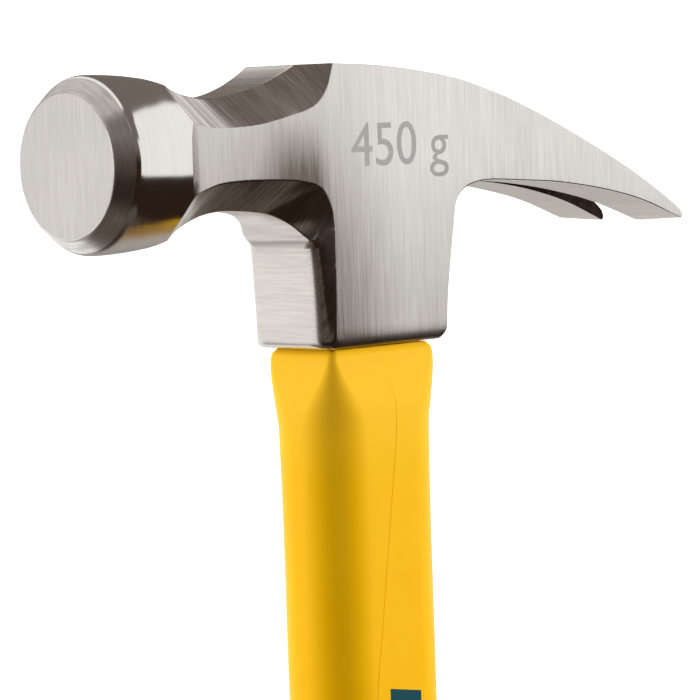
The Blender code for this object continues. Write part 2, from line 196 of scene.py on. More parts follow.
class Shader:
    """A node tree with a short call for each kind of node used here."""

    def __init__(self, tree):
        self.tree = tree

    def node(self, kind, **settings):
        made = self.tree.nodes.new(kind)
        for name, value in settings.items():
            setattr(made, name, value)
        return made

    def feed(self, socket, value):
        if isinstance(value, bpy.types.NodeSocket):
            self.tree.links.new(value, socket)
        else:
            socket.default_value = value

    def math(self, operation, a, b=0.0):
        made = self.node("ShaderNodeMath", operation=operation)
        self.feed(made.inputs[0], a)
        self.feed(made.inputs[1], b)
        return made.outputs[0]

    def smooth(self, value, low, high, to_low=0.0, to_high=1.0):
        """A soft step: to_low below low, to_high above high."""
        made = self.node("ShaderNodeMapRange", interpolation_type="SMOOTHSTEP")
        for name, number in (("Value", value), ("From Min", low), ("From Max", high),
                             ("To Min", to_low), ("To Max", to_high)):
            self.feed(made.inputs[name], number)
        return made.outputs["Result"]

    def vector(self, operation, value, constant, output="Vector"):
        made = self.node("ShaderNodeVectorMath", operation=operation)
        self.feed(made.inputs[0], value)
        made.inputs[1].default_value = constant
        return made.outputs[output]

    def scaled(self, vector, scale):
        return self.vector("MULTIPLY", vector, scale)

    def dot(self, vector, direction):
        return self.vector("DOT_PRODUCT", vector, direction, "Value")

    def combine(self, x, y, z):
        made = self.node("ShaderNodeCombineXYZ")
        for socket, value in zip(made.inputs, (x, y, z)):
            self.feed(socket, value)
        return made.outputs[0]

    def separate(self, vector):
        made = self.node("ShaderNodeSeparateXYZ")
        self.feed(made.inputs[0], vector)
        return made.outputs

    def noise(self, vector, scale, detail=3.0, roughness=0.5):
        made = self.node("ShaderNodeTexNoise")
        self.feed(made.inputs["Vector"], vector)
        made.inputs["Scale"].default_value = scale
        made.inputs["Detail"].default_value = detail
        made.inputs["Roughness"].default_value = roughness
        return made.outputs["Fac"]

    def mix(self, factor, first, second):
        made = self.node("ShaderNodeMix", data_type="RGBA")
        self.feed(made.inputs["Factor"], factor)
        self.feed(made.inputs["A"], first)
        self.feed(made.inputs["B"], second)
        return made.outputs["Result"]

    def bump(self, height, distance, strength=1.0, under=None):
        made = self.node("ShaderNodeBump")
        made.inputs["Strength"].default_value = strength
        made.inputs["Distance"].default_value = distance
        self.feed(made.inputs["Height"], height)
        if under is not None:
            self.feed(made.inputs["Normal"], under)
        return made.outputs["Normal"]

    def place(self):
        """Coordinates on the object, in millimetres."""
        return self.scaled(self.node("ShaderNodeTexCoord").outputs["Object"], (1 / MM,) * 3)


def new_material(name):
    made = bpy.data.materials.new(name)
    made.use_nodes = True
    shader = made.node_tree.nodes["Principled BSDF"]
    return made, Shader(made.node_tree), shader


def tint(red, green, blue):
    """An opaque linear colour."""
    return (red, green, blue, 1.0)


def unit(vector):
    vector = np.asarray(vector, float)
    return vector / np.linalg.norm(vector)


# ---------------------------------------------------------------- materials

STEEL_LIGHT = tint(0.82, 0.805, 0.785)
STEEL_SHADE = tint(0.73, 0.715, 0.695)
# Painted shade: dark brown mixed into the steel's colour where a mask paints it darker
PAINTED_SHADE_BROWN = tint(0.17, 0.142, 0.120)


def cheek_painted_shade(s, place):
    """Painted shade on the ground side, how much it darkens a place: most beside the neck and low on the
    cheek's front.
    """
    x, _, z = s.separate(s.vector("SUBTRACT", place, (0.0, 0.0, AXIS_Z)))
    grain = s.combine(s.math("MULTIPLY", x, 2.4), 0.0, s.math("MULTIPLY", z, 0.06))
    streak = s.noise(grain, 1.0, 3.0, 0.6)
    low = s.smooth(z, -36.0, 6.0, 0.36, 0.0)
    front = s.math("MULTIPLY", s.smooth(x, -46.0, -20.0, 0.5, 1.0), s.smooth(x, -18.0, 6.0, 1.0, 0.0))
    front = s.math("MULTIPLY", front, s.smooth(z, -20.0, 18.0, 0.62, 0.14))
    neck = s.math("MULTIPLY", s.smooth(x, -31.0, -20.0), s.smooth(x, -17.0, -12.5, 1.0, 0.0))
    neck = s.math("MULTIPLY", neck, s.smooth(z, -5.0, 9.0, 0.55, 0.0))
    neck = s.math("ADD", neck, s.smooth(x, -26.0, -15.0, 0.11, 0.0))
    edge = s.smooth(z, BLOCK_BOTTOM, BLOCK_BOTTOM + 4.2, 0.5, 0.0)
    total = s.math("ADD", s.math("ADD", low, front), s.math("ADD", neck, edge))
    return s.math("MULTIPLY", total, s.smooth(streak, 0.25, 0.75, 0.82, 1.18))


def barrel_painted_shade(s, place):
    """Painted shade on the poll's barrel: only its underside is darkened, which also dims the handle's
    reflection there.
    """
    return s.smooth(s.separate(place)[2], AXIS_Z - 11.5, AXIS_Z - 8.5, 0.8, 0.0)


def middle_painted_shade(s, place):
    """Painted shade on the middle strip: a little under the neck and the claws."""
    z = s.separate(place)[2]
    return s.math("MULTIPLY", s.smooth(z, AXIS_Z - 15.0, AXIS_Z - 13.5, 0.0, 0.15),
                  s.smooth(z, AXIS_Z - 4.0, AXIS_Z + 4.0, 1.0, 0.0))


def bevel_painted_shade(s, place):
    """Painted shade on the bevel round the striking face: its upper half is darkened, a little."""
    return s.smooth(s.separate(place)[2], AXIS_Z + 4.0, AXIS_Z + 7.0, 0.0, 0.44)


def chamfer_painted_shade(s, place):
    """Painted shade on the upper chamfer: dark streaks across it beside the poll."""
    x = s.separate(place)[0]
    across = s.math("MULTIPLY", s.dot(place, unit((0.88, -0.1, 0.46))), 0.7)
    streak = s.noise(s.combine(across, 0.0, 0.0), 1.0, 2.0, 0.6)
    return s.math("MULTIPLY", s.smooth(x, -39.0, -34.0, 0.62, 0.0), s.smooth(streak, 0.40, 0.56))


def ground_steel(name, lines, roughness, depth, shade=STEEL_SHADE, light=STEEL_LIGHT, scratches=0.0,
                 painted_shade=None, dull=0.0, dull_z=(0.0, 1.0)):
    """Steel with grinding lines. The function lines gives coordinates that change fast across the
    lines and slowly along them, in lines' widths, and the painted-shade function how much a place
    is darkened by painted shade.
    The roughness grows by dull from the second height in dull_z down to the first."""
    made, s, shader = new_material(name)
    place = s.place()
    grain = lines(s, place)
    fine = s.noise(grain, 1.0, 3.0, 0.6)
    broad = s.noise(s.scaled(grain, (0.2, 0.5, 0.2)), 1.0, 2.0, 0.5)
    cloud = s.noise(place, 0.09, 2.0, 0.5)
    tone = s.math("ADD", s.math("MULTIPLY", fine, 0.55), s.math("MULTIPLY", broad, 0.25))
    tone = s.math("ADD", tone, s.math("MULTIPLY", cloud, 0.2))
    colour = s.mix(s.smooth(tone, 0.36, 0.64), shade, light)
    # Painted shade: the mask darkens the colour toward the dark brown
    if painted_shade:
        colour = s.mix(painted_shade(s, place), colour, PAINTED_SHADE_BROWN)
    rough = s.smooth(fine, 0.3, 0.7, roughness * 1.18, roughness * 0.85)
    if dull:
        low, high = (AXIS_Z + z for z in dull_z)
        rough = s.math("ADD", rough, s.smooth(s.separate(place)[2], low, high, dull, 0.0))
    normal = s.bump(s.math("ADD", fine, s.math("MULTIPLY", broad, 0.8)), depth * MM)
    if scratches:
        wide = s.noise(s.scaled(grain, (0.45, 0.3, 0.45)), 1.0, 2.0, 0.5)
        mark = s.smooth(wide, 0.56, 0.66)
        normal = s.bump(mark, -scratches * MM, 1.0, normal)
    s.feed(shader.inputs["Base Color"], colour)
    s.feed(shader.inputs["Roughness"], rough)
    s.feed(shader.inputs["Normal"], normal)
    shader.inputs["Metallic"].default_value = 1.0
    return made


def along_lines(along, across, width, length):
    """Lines that run along one direction of a surface. Both sides of the head mirror each other."""
    def lines(s, place):
        x, y, z = s.separate(place)
        near = s.combine(x, s.math("ABSOLUTE", y), z)
        u = s.math("MULTIPLY", s.dot(near, unit(across)), 1 / width)
        v = s.math("MULTIPLY", s.dot(near, unit(along)), 1 / length)
        return s.combine(u, v, 0.0)
    return lines


def across_lines(scale):
    """Lines that run along the axes whose scale is small."""
    def lines(s, place):
        return s.scaled(place, scale)
    return lines


def steel_materials():
    """The head's finishes, in the order of the face material numbers."""
    side = ground_steel("steel_side", along_lines((0, 0, 1), (1, 0, 0), 0.28, 14.0), 0.25, 0.0034,
                        painted_shade=cheek_painted_shade, dull=0.22, dull_z=(-32.6, -31.2))
    middle = ground_steel("steel_middle", across_lines((2.6, 0.12, 2.6)), 0.27, 0.005,
                          light=tint(0.77, 0.735, 0.70), shade=tint(0.67, 0.64, 0.605),
                          painted_shade=middle_painted_shade)
    upper = ground_steel("steel_upper_chamfer",
                         along_lines((0.44, 0.60, -0.66), (0.88, -0.1, 0.46), 0.5, 9.0),
                         0.15, 0.011, scratches=0.012,
                         light=tint(0.88, 0.85, 0.82), shade=tint(0.52, 0.49, 0.46),
                         painted_shade=chamfer_painted_shade)
    lower = ground_steel("steel_lower_chamfer",
                         along_lines((0.50, 0.45, 0.74), (0.82, 0.0, -0.57), 0.5, 9.0),
                         0.15, 0.009, scratches=0.010,
                         light=tint(0.92, 0.89, 0.86), shade=tint(0.45, 0.42, 0.39))
    face = ground_steel("steel_face", along_lines((0, 0, 1), (0, 1, 0), 0.32, 10.0), 0.30, 0.003,
                        light=tint(0.685, 0.665, 0.64), shade=tint(0.61, 0.59, 0.565))
    bevel = ground_steel("steel_bevel", across_lines((1.6, 0.22, 0.22)), 0.29, 0.009,
                         shade=tint(0.58, 0.56, 0.54), painted_shade=bevel_painted_shade)
    barrel = ground_steel("steel_barrel", across_lines((5.0, 0.10, 0.10)), 0.12, 0.0002,
                          shade=tint(0.765, 0.75, 0.73), painted_shade=barrel_painted_shade,
                          dull=0.2, dull_z=(-11.0, -8.5))
    # Painted shade: the slot's walls get a near-black colour for the shade between the claws
    slot = ground_steel("steel_slot_painted_shade", across_lines((1.2, 1.2, 1.2)), 0.6, 0.02,
                        shade=tint(0.030, 0.016, 0.010), light=tint(0.060, 0.034, 0.023))
    eye = ground_steel("steel_eye", across_lines((1.0, 1.0, 0.3)), 0.5, 0.02,
                       shade=tint(0.10, 0.09, 0.08), light=tint(0.22, 0.20, 0.18))
    return [side, middle, upper, lower, face, bevel, barrel, slot, eye]


def jacket_plastic():
    made, s, shader = new_material("jacket_plastic")
    place = s.place()
    cloud = s.noise(place, 0.06, 3.0, 0.55)
    peel = s.noise(s.scaled(place, (1.0, 1.0, 0.4)), 0.9, 2.0, 0.5)
    grain = s.noise(place, 6.0, 2.0, 0.6)
    colour = s.mix(s.smooth(cloud, 0.35, 0.65), tint(0.93, 0.495, 0.001), tint(0.95, 0.515, 0.002))
    # Painted light: the jacket is made lighter and yellower towards its top, under the head, where the
    # head would shade it
    top = s.smooth(s.separate(place)[2], JACKET_TOP_Z - 26.0, JACKET_TOP_Z - 8.0, 0.0, 0.8)
    colour = s.mix(top, colour, tint(0.98, 0.56, 0.020))
    s.feed(shader.inputs["Base Color"], colour)
    s.feed(shader.inputs["Roughness"], s.smooth(peel, 0.3, 0.7, 0.30, 0.38))
    normal = s.bump(peel, 0.010 * MM)
    s.feed(shader.inputs["Normal"], s.bump(grain, 0.0015 * MM, 1.0, normal))
    shader.inputs["Specular IOR Level"].default_value = 0.10
    return made


def print_ink():
    made, s, shader = new_material("teal_ink")
    place = s.place()
    speckle = s.noise(place, 9.0, 3.0, 0.6)
    colour = s.mix(s.smooth(speckle, 0.35, 0.7), tint(0.0, 0.050, 0.066), tint(0.0, 0.064, 0.082))
    s.feed(shader.inputs["Base Color"], colour)
    s.feed(shader.inputs["Roughness"], s.smooth(speckle, 0.3, 0.7, 0.34, 0.42))
    s.feed(shader.inputs["Normal"], s.bump(speckle, 0.002 * MM))
    shader.inputs["Specular IOR Level"].default_value = 0.2
    return made


def etched_steel():
    made, s, shader = new_material("etched_steel")
    place = s.place()
    frost = s.noise(place, 7.0, 3.0, 0.6)
    lines = s.noise(s.scaled(place, (3.6, 1.0, 0.2)), 1.0, 3.0, 0.6)
    tone = s.math("ADD", s.math("MULTIPLY", frost, 0.5), s.math("MULTIPLY", lines, 0.5))
    s.feed(shader.inputs["Base Color"],
           s.mix(s.smooth(tone, 0.35, 0.65), tint(0.66, 0.65, 0.635), tint(0.74, 0.73, 0.715)))
    s.feed(shader.inputs["Roughness"], s.smooth(frost, 0.3, 0.7, 0.5, 0.62))
    s.feed(shader.inputs["Normal"], s.bump(tone, 0.004 * MM))
    shader.inputs["Metallic"].default_value = 1.0
    return made


def grip_rubber():
    made, s, shader = new_material("grip_rubber")
    place = s.place()
    grain = s.noise(place, 2.6, 4.0, 0.6)
    cloud = s.noise(place, 0.05, 3.0, 0.6)
    colour = s.mix(s.smooth(cloud, 0.35, 0.65), tint(0.018, 0.018, 0.019), tint(0.030, 0.030, 0.031))
    s.feed(shader.inputs["Base Color"], colour)
    s.feed(shader.inputs["Roughness"], s.smooth(grain, 0.3, 0.7, 0.62, 0.78))
    s.feed(shader.inputs["Normal"], s.bump(grain, 0.05 * MM))
    return made


def fibre_rod():
    made, s, shader = new_material("fibreglass_rod")
    place = s.place()
    strands = s.noise(s.scaled(place, (5.0, 5.0, 0.05)), 1.0, 4.0, 0.6)
    colour = s.mix(s.smooth(strands, 0.3, 0.7), tint(0.42, 0.33, 0.16), tint(0.74, 0.66, 0.42))
    s.feed(shader.inputs["Base Color"], colour)
    s.feed(shader.inputs["Roughness"], s.smooth(strands, 0.3, 0.7, 0.4, 0.6))
    s.feed(shader.inputs["Normal"], s.bump(strands, 0.03 * MM))
    return made


def epoxy_resin():
    made, s, shader = new_material("cast_epoxy")
    place = s.place()
    ripple = s.noise(place, 0.35, 2.0, 0.5)
    pores = s.smooth(s.noise(place, 2.4, 2.0, 0.5), 0.68, 0.74)
    colour = s.mix(s.smooth(ripple, 0.3, 0.7), tint(0.018, 0.016, 0.014), tint(0.035, 0.031, 0.028))
    s.feed(shader.inputs["Base Color"], colour)
    s.feed(shader.inputs["Roughness"], s.smooth(ripple, 0.3, 0.7, 0.16, 0.28))
    normal = s.bump(ripple, 0.25 * MM)
    s.feed(shader.inputs["Normal"], s.bump(pores, -0.15 * MM, 1.0, normal))
    return made


# ---------------------------------------------------------------- mesh helpers

def finish_mesh(name, bm, materials=(), smooth=True):
    """Turn a bmesh in millimetres into a named object in metres, with its faces out."""
    bmesh.ops.scale(bm, vec=(MM, MM, MM), verts=bm.verts)
    bmesh.ops.recalc_face_normals(bm, faces=bm.faces)
    mesh = bpy.data.meshes.new(name)
    bm.to_mesh(mesh)
    bm.free()
    if smooth:
        mesh.shade_smooth()
    made = bpy.data.objects.new(name, mesh)
    bpy.context.collection.objects.link(made)
    for each in materials:
        mesh.materials.append(each)
    return made


def bake(obj):
    """Apply an object's modifiers to its mesh."""
    graph = bpy.context.evaluated_depsgraph_get()
    graph.update()
    mesh = bpy.data.meshes.new_from_object(obj.evaluated_get(graph))
    obj.modifiers.clear()
    obj.data = mesh


def combine(target, operation, helper):
    """Apply a boolean with a helper solid, then remove the helper."""
    modifier = target.modifiers.new("cut", "BOOLEAN")
    modifier.object = helper
    modifier.operation = operation
    modifier.solver = "EXACT"
    bake(target)
    bpy.data.objects.remove(helper, do_unlink=True)


def even_normals(obj):
    """Let the large faces keep their own normals and the small edge faces blend into them."""
    modifier = obj.modifiers.new("weighted", "WEIGHTED_NORMAL")
    modifier.keep_sharp = True
    modifier.weight = 100
    bake(obj)


def loft(rings, material=0):
    """Close a stack of rings with equal point counts into one solid."""
    bm = bmesh.new()
    made = [[bm.verts.new(point) for point in ring] for ring in rings]
    count = len(rings[0])
    for lower, upper in zip(made, made[1:]):
        for i in range(count):
            j = (i + 1) % count
            bm.faces.new((lower[i], lower[j], upper[j], upper[i]))
    bm.faces.new(made[0])
    bm.faces.new(list(reversed(made[-1])))
    for face in bm.faces:
        face.material_index = material
    return bm


def catmull_rom(points, step):
    """Points along a smooth curve through the given points, in any number of dimensions."""
    points = np.asarray(points, float)
    padded = np.vstack([2 * points[0] - points[1], points, 2 * points[-1] - points[-2]])
    path = [points[0]]
    for p0, p1, p2, p3 in zip(padded, padded[1:], padded[2:], padded[3:]):
        steps = max(1, math.ceil(np.abs(p2 - p1).max() / step))
        for t in np.arange(1, steps + 1) / steps:
            path.append(0.5 * (2 * p1 + (p2 - p0) * t + (2 * p0 - 5 * p1 + 4 * p2 - p3) * t**2
                               + (3 * p1 - p0 - 3 * p2 + p3) * t**3))
    return np.array(path)


def turns(count):
    """Equal angles once round, in radians."""
    return [2 * math.pi * i / count for i in range(count)]


def bend(start, corner, end, steps):
    """Rows of points along the parabola that rounds a corner."""
    return [(1 - t)**2 * start + 2 * t * (1 - t) * corner + t**2 * end
            for t in np.linspace(0, 1, steps + 1)]


def ramp(value, low, high):
    """A soft step from 0 at low to 1 at high."""
    t = np.clip((value - low) / (high - low), 0, 1)
    return t * t * (3 - 2 * t)


# ---------------------------------------------------------------- the head

def round_corner(outline, corner, radius, steps=6):
    """Replace one corner of the closed outline by an arc that starts a radius away from it."""
    corner = np.asarray(corner, float)
    first = int(np.hypot(*(outline[:, :2] - corner[:2]).T).argmin())
    outline = np.roll(outline, -first, axis=0)
    apart = np.hypot(*(outline[:, :2] - corner[:2]).T)
    keep = outline[apart > radius * 1.02]
    ends = []
    for other in (keep[-1], keep[0]):
        ends.append(corner + (other - corner) * radius / np.hypot(*(other - corner)[:2]))
    return np.vstack([bend(ends[0], corner, ends[1], steps), keep])


def head_outline(step):
    """The closed outline: columns are side X, side Z, middle X, middle Z, middle half width."""
    pieces = []
    run = [OUTLINE[0][:5]]
    for station in OUTLINE[1:] + OUTLINE[:1]:
        run.append(station[:5])
        if station[5] is not None:
            pieces.append(catmull_rom(run, step)[:-1])
            run = [station[:5]]
    outline = np.vstack(pieces)
    for station in OUTLINE:
        if station[5]:
            outline = round_corner(outline, station[:5], station[5])
    return outline


WIDTH_TABLE = np.vstack([catmull_rom(run, 0.25) for run in (NECK_WIDTHS, CLAW_WIDTHS)])


def half_width(x):
    """Half width of the head's side at X: two smooth curves with the flat cheek between them."""
    return np.interp(x, WIDTH_TABLE[:, 0], WIDTH_TABLE[:, 1])


def inward(points):
    """The direction into a closed outline at each point, lengthened at corners."""
    after = np.roll(points, -1, axis=0) - points
    after /= np.linalg.norm(after, axis=1)[:, None]
    before = np.roll(after, 1, axis=0)
    tangent = after + before
    tangent /= np.linalg.norm(tangent, axis=1)[:, None]
    turn = np.sign(np.sum(points[:, 0] * np.roll(points[:, 1], -1)
                          - np.roll(points[:, 0], -1) * points[:, 1]))
    normal = turn * np.column_stack([-tangent[:, 1], tangent[:, 0]])
    return normal / np.maximum(0.6, (tangent * after).sum(1))[:, None]


def edge_rings(outline, sign):
    """Rings from the rim of one ground side over its chamfer to the middle strip."""
    side_x, side_z, middle_x, middle_z, middle_half = outline.T
    side = np.column_stack([side_x, sign * half_width(side_x), side_z])
    middle = np.column_stack([middle_x, sign * middle_half, middle_z])
    across = middle - side
    length = np.linalg.norm(across, axis=1)
    across /= length[:, None]
    ease = EDGE_EASE + (BOTTOM_EASE - EDGE_EASE) * ramp(-side_z, *BOTTOM_EASE_DROP)
    ease += (TIP_EASE - EDGE_EASE) * ramp(side_x, *TIP_EASE_X)
    block = (middle_x < BLOCK_FRONT_X) * ramp(-middle_z, *BLOCK_EASE_DROP)
    near = CHAMFER_EASE + (BLOCK_EASE[0] - CHAMFER_EASE) * block
    far = CHAMFER_EASE + (BLOCK_EASE[1] - CHAMFER_EASE) * block
    near = np.minimum(near, 0.9 * (length - ease))[:, None]
    ease = ease[:, None]
    rim = outline[:, :2] + inward(outline[:, :2]) * ease
    rim = np.column_stack([rim[:, 0], sign * half_width(rim[:, 0]), rim[:, 1]])
    start = side + across * ease
    end = middle - across * near
    strip = middle + np.array([0.0, -sign, 0.0]) * far[:, None]
    rings = bend(rim, side, start, EDGE_STEPS)
    rings += [start + (end - start) * t for t in (1 / 3, 2 / 3)]
    return rings + bend(end, middle, strip, STRIP_STEPS)


def side_cap(bm, ring, sign):
    """Fill one ground side of the head inside its rim."""
    rim = np.array([(v.co.x, v.co.z - AXIS_Z) for v in ring])
    ends = np.roll(rim, -1, axis=0)
    along = ends - rim
    inner = []
    for x in np.arange(rim[:, 0].min() + CAP_GRID, rim[:, 0].max(), CAP_GRID):
        for z in np.arange(rim[:, 1].min() + CAP_GRID, rim[:, 1].max(), CAP_GRID):
            spot = np.array([x, z])
            t = np.clip(((spot - rim) * along).sum(1) / (along**2).sum(1), 0, 1)
            near = np.hypot(*(rim + along * t[:, None] - spot).T).min()
            rise = np.where(along[:, 1] == 0, 1e-9, along[:, 1])
            crossings = ((rim[:, 1] > z) != (ends[:, 1] > z)) & (
                x < rim[:, 0] + along[:, 0] * (z - rim[:, 1]) / rise)
            if near > 0.5 * CAP_GRID and crossings.sum() % 2:
                inner.append((float(x), float(z)))
    corners = [tuple(map(float, point)) for point in rim]
    edges = [(i, (i + 1) % len(corners)) for i in range(len(corners))]
    points, _, faces, source, _, _ = delaunay_2d_cdt(corners + inner, edges, [], 1, 1e-6)
    verts = []
    for point, origin in zip(points, source):
        if origin and origin[0] < len(corners):
            verts.append(ring[origin[0]])
        else:
            y = sign * float(half_width(point[0]))
            verts.append(bm.verts.new((point[0], y, point[1] + AXIS_Z)))
    for face in faces:
        bm.faces.new([verts[i] for i in face]).material_index = SIDE


def head_blank(materials):
    """The forging with its ground chamfers and eased edges, before its poll, slot and eye."""
    outline = head_outline(OUTLINE_STEP)
    apart = np.hypot(outline[:, 0] - outline[:, 2], outline[:, 1] - outline[:, 3])
    chamfered = apart > CHAMFER_LEAST
    upper = outline[:, 1] > 0
    near = edge_rings(outline, -1)
    far = edge_rings(outline, 1)[::-1]
    first_strip, last_strip = CHAMFER_STRIPS
    bm = bmesh.new()
    rings = [[bm.verts.new((x, y, z + AXIS_Z)) for x, y, z in ring] for ring in near + far]
    count = len(outline)
    for k, (first, second) in enumerate(zip(rings, rings[1:])):
        depth = min(k, len(rings) - 2 - k)
        for i in range(count):
            j = (i + 1) % count
            face = bm.faces.new((first[i], first[j], second[j], second[i]))
            if depth < first_strip:
                face.material_index = SIDE
            elif depth < last_strip and chamfered[i]:
                face.material_index = UPPER if upper[i] else LOWER
            else:
                face.material_index = MIDDLE
    side_cap(bm, rings[0], -1)
    side_cap(bm, rings[-1], 1)
    bmesh.ops.triangulate(bm, faces=bm.faces)
    return finish_mesh("hammer_head_fine", bm, materials)


def poll_envelope(materials, segments=180):
    """A turned solid that holds the poll's round shape and, behind it, all the rest."""
    rim = bend(np.array([FACE_X, FACE_RADIUS - RIM_RADIUS]), np.array([FACE_X, FACE_RADIUS]),
               np.array([FACE_X + RIM_RADIUS * 0.8, FACE_RADIUS + RIM_RADIUS * 0.6]), 4)
    slope = unit((BELL_X - FACE_X, BELL_RADIUS - FACE_RADIUS))
    bell = bend(np.array([BELL_X, BELL_RADIUS]) - BELL_ROUND * slope,
                np.array([BELL_X, BELL_RADIUS]),
                np.array([BELL_X + BELL_ROUND, BELL_RADIUS]), 5)
    barrel = [point for point in catmull_rom(BARREL, 0.8) if point[0] > BELL_X + BELL_ROUND * 1.2]
    last_x = BARREL[-1][0] + 0.05
    profile = [(FACE_X, 0.0)] + rim + bell + barrel
    kinds = [FACE] + [BEVEL] * len(rim) + [BARREL_SKIN] * (len(bell) + len(barrel))
    profile += [(last_x, ENVELOPE_RADIUS), (ENVELOPE_END_X, ENVELOPE_RADIUS), (ENVELOPE_END_X, 0.0)]
    kinds += [BARREL_SKIN] * 3
    bm = bmesh.new()
    rings = []
    for x, r in profile:
        if r == 0.0:
            rings.append([bm.verts.new((x, 0.0, AXIS_Z))] * segments)
        else:
            rings.append([bm.verts.new((x, r * math.sin(a), AXIS_Z + r * math.cos(a)))
                          for a in turns(segments)])
    for first, second, kind in zip(rings, rings[1:], kinds):
        for i in range(segments):
            j = (i + 1) % segments
            corners = list(dict.fromkeys((first[i], first[j], second[j], second[i])))
            bm.faces.new(corners).material_index = kind
    return finish_mesh("poll_envelope", bm, materials)


def slot_cutter(materials):
    """The wedge between the claws, with its narrow end at the root."""
    spread = (SLOT_TIP_HALF - SLOT_APEX_HALF) / (SLOT_TIP_X - SLOT_APEX_X)
    far_x = SLOT_TIP_X + PAST
    far_half = SLOT_TIP_HALF + spread * PAST
    plan = [(SLOT_APEX_X, -SLOT_APEX_HALF), (far_x, -far_half), (far_x, far_half),
            (SLOT_APEX_X, SLOT_APEX_HALF)]
    levels = (HEAD_LOW.z - PAST, HEAD_HIGH.z + PAST)
    return finish_mesh("slot_cutter", loft([[(x, y, z) for x, y in plan] for z in levels], SLOT),
                       materials, smooth=False)


def oval(half_x, half_y, count=96):
    """A flat-sided oval that suits an eye: a superellipse of the third power."""
    points = []
    for angle in turns(count):
        c, s = math.cos(angle), math.sin(angle)
        size = (abs(c) ** 3 + abs(s) ** 3) ** (-1 / 3)
        points.append((half_x * c * size, half_y * s * size))
    return points


def eye_half(z):
    """Half sizes of the eye at a height: it flares towards the top of the head."""
    lift = max(0.0, (z - EYE_TAPER_Z) / (LENGTH - EYE_TAPER_Z))
    return [low + (high - low) * lift for low, high in zip(EYE_HALF, EYE_TOP_HALF)]


def eye_cutter(materials):
    levels = (HEAD_LOW.z - PAST, EYE_TAPER_Z, HEAD_HIGH.z + PAST)
    rings = [[(x, y, z) for x, y in oval(*eye_half(z))] for z in levels]
    return finish_mesh("eye_cutter", loft(rings, EYE), materials)


def mark_sharp_edges(obj, corner=50, cut_corner=6):
    """Cut edges and true corners, above these angles in degrees, stay crisp. Eased edges stay smooth."""
    bm = bmesh.new()
    bm.from_mesh(obj.data)
    for edge in bm.edges:
        if len(edge.link_faces) != 2:
            continue
        kinds = [face.material_index for face in edge.link_faces]
        angle = math.degrees(edge.calc_face_angle(0.0))
        cut = kinds[0] != kinds[1] and max(kinds) >= FACE and not all(k in TURNED for k in kinds)
        edge.smooth = not (angle > corner or (cut and angle > cut_corner))
    bm.to_mesh(obj.data)
    bm.free()


def build_head():
    """The head: the ground forging, its turned poll, the nail slot and the eye."""
    materials = steel_materials()
    head = head_blank(materials)
    combine(head, "INTERSECT", poll_envelope(materials))
    combine(head, "DIFFERENCE", slot_cutter(materials))
    combine(head, "DIFFERENCE", eye_cutter(materials))
    mark_sharp_edges(head)
    even_normals(head)
    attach(head, "root")
    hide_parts("hammer_head")


# ---------------------------------------------------------------- marks on the head and handle

MARK_X = -8.2
MARK_Z = AXIS_Z - 2.0
MARK_SIZE = 11.0
MARK_PROUD = 0.04


def build_weight_mark():
    """A plain weight figure, etched grey on the cheek."""
    curve = bpy.data.curves.new("weight_mark", "FONT")
    curve.body = "450 g"
    curve.size = MARK_SIZE * MM
    curve.extrude = 0.5 * MARK_PROUD * MM
    curve.resolution_u = 6
    text = bpy.data.objects.new("weight_mark_text", curve)
    bpy.context.collection.objects.link(text)
    bpy.context.view_layer.update()
    mesh = bpy.data.meshes.new_from_object(text.evaluated_get(bpy.context.evaluated_depsgraph_get()))
    bpy.data.objects.remove(text, do_unlink=True)
    mesh.transform(Matrix.Translation(Vector((MARK_X, 0.0, MARK_Z)) * MM)
                   @ Matrix.Rotation(math.radians(90), 4, "X"))
    for vertex in mesh.vertices:
        vertex.co.y -= float(half_width(vertex.co.x / MM)) * MM
    mark = bpy.data.objects.new("weight_mark", mesh)
    bpy.context.collection.objects.link(mark)
    mark.data.materials.clear()
    mark.data.materials.append(etched_steel())
    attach(mark, "root")


STRIPE_LOW_X, STRIPE_HIGH_X = -2.4, 5.3
STRIPE_TOP_Z = AXIS_Z - 95.3
STRIPE_TOP_SLOPE = 1.4                 # how much lower the top edge is at its +X end
STRIPE_BOTTOM_Z = STRIPE_TOP_Z - 62.0
STRIPE_PROUD = 0.03
STRIPE_ROWS = 24


def build_stripe():
    """A plain printed bar on the near broad side of the handle."""
    rings = []
    for t in np.linspace(0, 1, STRIPE_ROWS):
        z = STRIPE_BOTTOM_Z + (STRIPE_TOP_Z - STRIPE_BOTTOM_Z) * t
        low = z - STRIPE_TOP_SLOPE * t
        y = -jacket_half_width(z)
        rings.append([(STRIPE_LOW_X, y - STRIPE_PROUD, z), (STRIPE_HIGH_X, y - STRIPE_PROUD, low),
                      (STRIPE_HIGH_X, y + STRIPE_PROUD, low), (STRIPE_LOW_X, y + STRIPE_PROUD, z)])
    stripe = finish_mesh("handle_stripe", loft(rings), [print_ink()], smooth=False)
    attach(stripe, "root")


# Mould's parting line on the near broad side: X, and height below the poll's axis
PARTING = [(0.0, -39.0), (0.9, -42.5), (1.3, -46.5), (0.6, -54.0), (-1.5, -68.5), (-3.6, -83.0),
           (-5.6, -97.0), (-6.6, -120.0), (-6.9, -150.0), (-7.0, -186.0)]
PARTING_RADIUS = 0.055


def build_parting_line(material):
    """A thin raised line on the jacket, thinner at its top end."""
    rings = []
    for i, (x, z) in enumerate(catmull_rom(PARTING, 1.5)):
        y = -jacket_half_width(z + AXIS_Z)
        radius = PARTING_RADIUS * min(1.0, 0.25 + i / 6)
        rings.append([(x + radius * math.cos(a), y + radius * math.sin(a), z + AXIS_Z)
                      for a in turns(8)])
    line = finish_mesh("jacket_parting_line", loft(rings), [material])
    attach(line, "root")


# ---------------------------------------------------------------- handle

